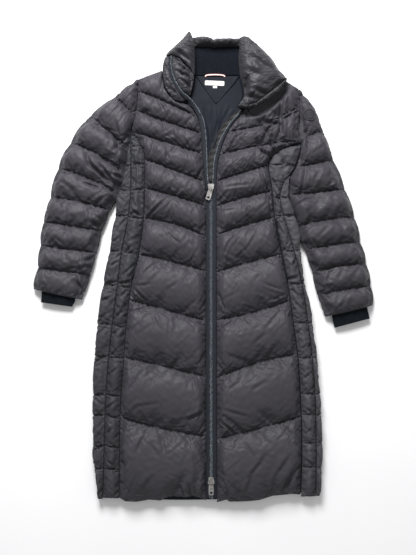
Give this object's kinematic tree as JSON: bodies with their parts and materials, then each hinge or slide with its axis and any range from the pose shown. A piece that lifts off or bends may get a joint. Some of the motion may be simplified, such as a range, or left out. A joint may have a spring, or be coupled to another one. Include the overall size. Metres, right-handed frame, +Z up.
{
  "type": "long puffer coat",
  "caption": "Long padded winter coat with a stand collar rolled open, chevron quilting, knit cuffs and a two-way front zip, laid flat with its front up.",
  "frame": {"origin": "on the surface under the centre of the coat's box", "axes": "+Z up from the surface, +Y towards the collar, -Y towards the hem, +X towards the wearer's left"},
  "size_m": [0.84, 1.1682, 0.0593],
  "materials": {
    "shell": "soft satin nylon, padded and quilted",
    "shell_side": "matt nylon, padded and quilted",
    "inside": "smooth lining",
    "knit": "soft knit",
    "zip_tape": "woven tape with a moulded chain",
    "metal": "pale metal",
    "blank": "woven label, blank",
    "patch": "plain round patch"
  },
  "bodies": {
    "garment": {"back": "shell", "collar_back": "shell", "front_right": "shell", "front_left": "shell", "sleeve_right": "shell", "sleeve_left": "shell", "collar_edge_right": "shell", "collar_facing_right": "shell", "collar_right": "shell", "collar_left": "shell", "collar_edge_left": "shell", "collar_band": "shell", "pocket_welt_right": "shell", "pocket_welt_left": "shell", "wind_flap": "shell", "side_front_right": "shell_side", "side_front_left": "shell_side", "side_back_right": "shell_side", "side_back_left": "shell_side", "lining": "inside", "neck_facing": "inside", "cuff_right": "knit", "cuff_left": "knit", "collar_jersey": "knit", "zip_right": "zip_tape", "zip_left": "zip_tape", "slider_top": "metal", "slider_bottom": "metal", "neck_label": "blank", "size_tab": "blank", "hanger_loop": "blank", "sleeve_badge": "patch"},
    "tab_top": {"pull_top": "metal"},
    "tab_bottom": {"pull_bottom": "metal"}
  },
  "joints": [
    {"name": "pull_top_swing", "type": "hinge", "parent": "garment", "child": "tab_top", "pos_m": [0.01947, 0.17511, 0.0284], "axis": [-0.9613, 0.2756, 0], "range_deg": [0, 150]},
    {"name": "pull_bottom_swing", "type": "hinge", "parent": "garment", "child": "tab_bottom", "pos_m": [0.01947, -0.53789, 0.0284], "axis": [-1, 0, 0], "range_deg": [0, 150]}
  ]
}
